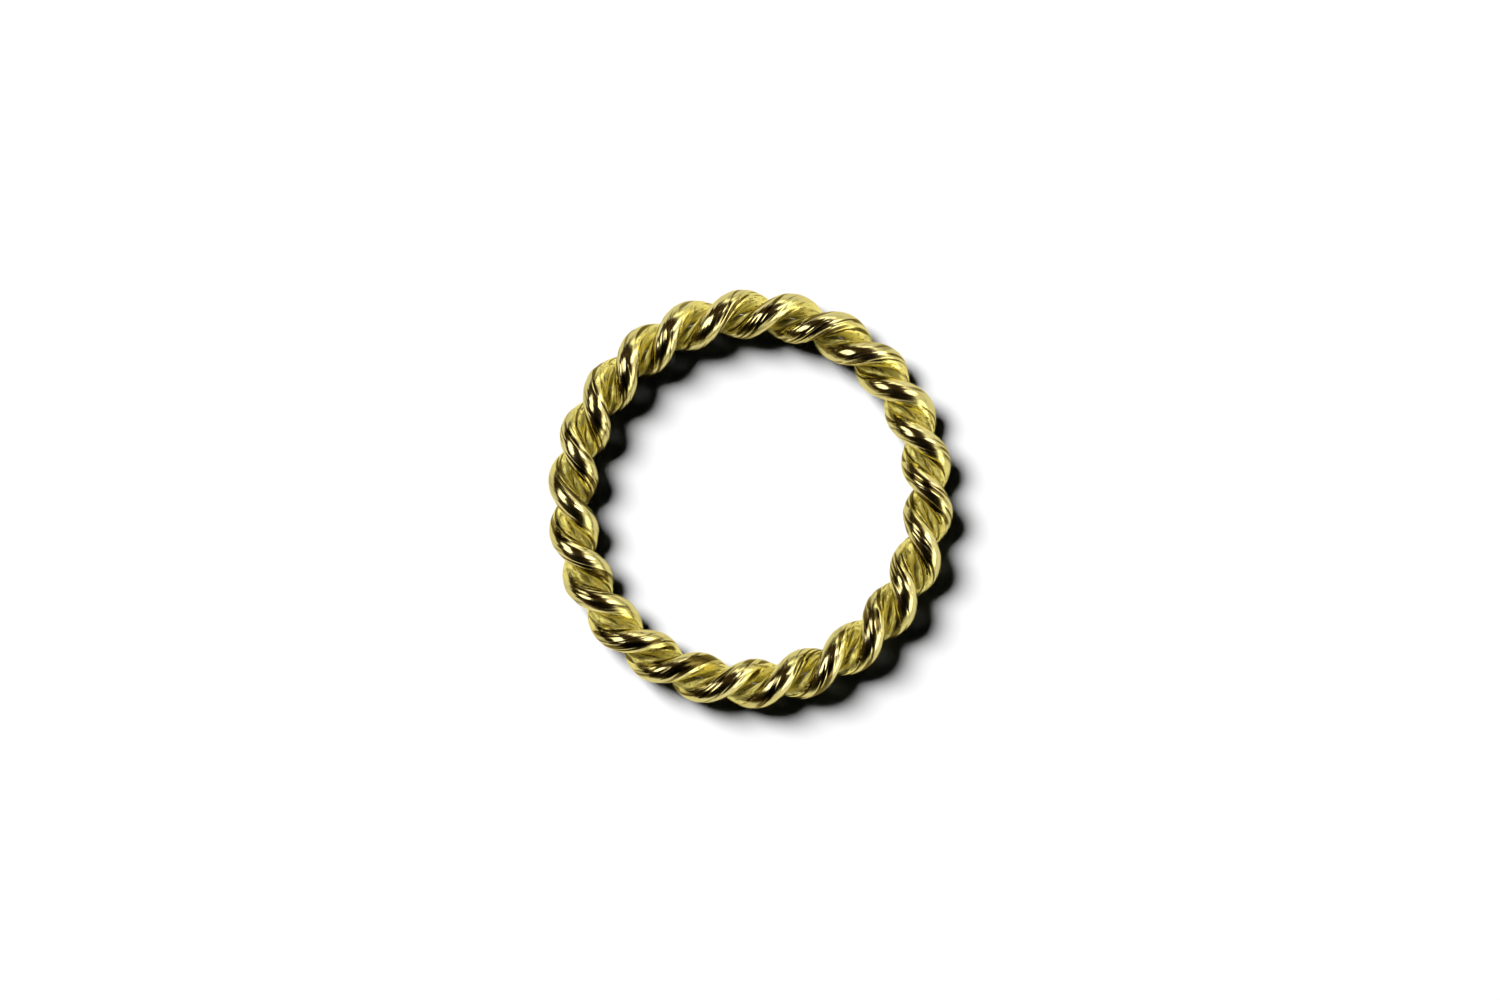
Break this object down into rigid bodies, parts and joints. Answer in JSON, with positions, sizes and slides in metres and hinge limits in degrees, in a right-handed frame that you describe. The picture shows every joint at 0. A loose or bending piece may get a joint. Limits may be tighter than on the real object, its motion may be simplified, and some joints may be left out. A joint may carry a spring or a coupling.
{
  "type": "twisted ring puzzle piece",
  "caption": "Closed metal ring of round wires laid round each other in a left-hand twist; each wire is an endless loop linked with the other.",
  "frame": {"origin": "centre of the ring, half way through its thickness", "axes": "+Z along the ring's axis, +Y along the ring's slightly longer diameter"},
  "size_m": [0.0488, 0.051, 0.006],
  "materials": {
    "polished_wire": "polished, gold-coloured, with fine drawing lines along the wire",
    "braze": "polished flush, slightly paler"
  },
  "bodies": {
    "first_loop": {"strand_a": "polished_wire", "braze_a": "braze"},
    "second_loop": {"strand_b": "polished_wire", "braze_b": "braze"}
  },
  "joints": [
    {"name": "loop_slip", "type": "hinge", "parent": "first_loop", "child": "second_loop", "pos_m": [0, 0, 0], "axis": [0, 0, 1], "range_deg": [-1.2, 1.2]}
  ]
}
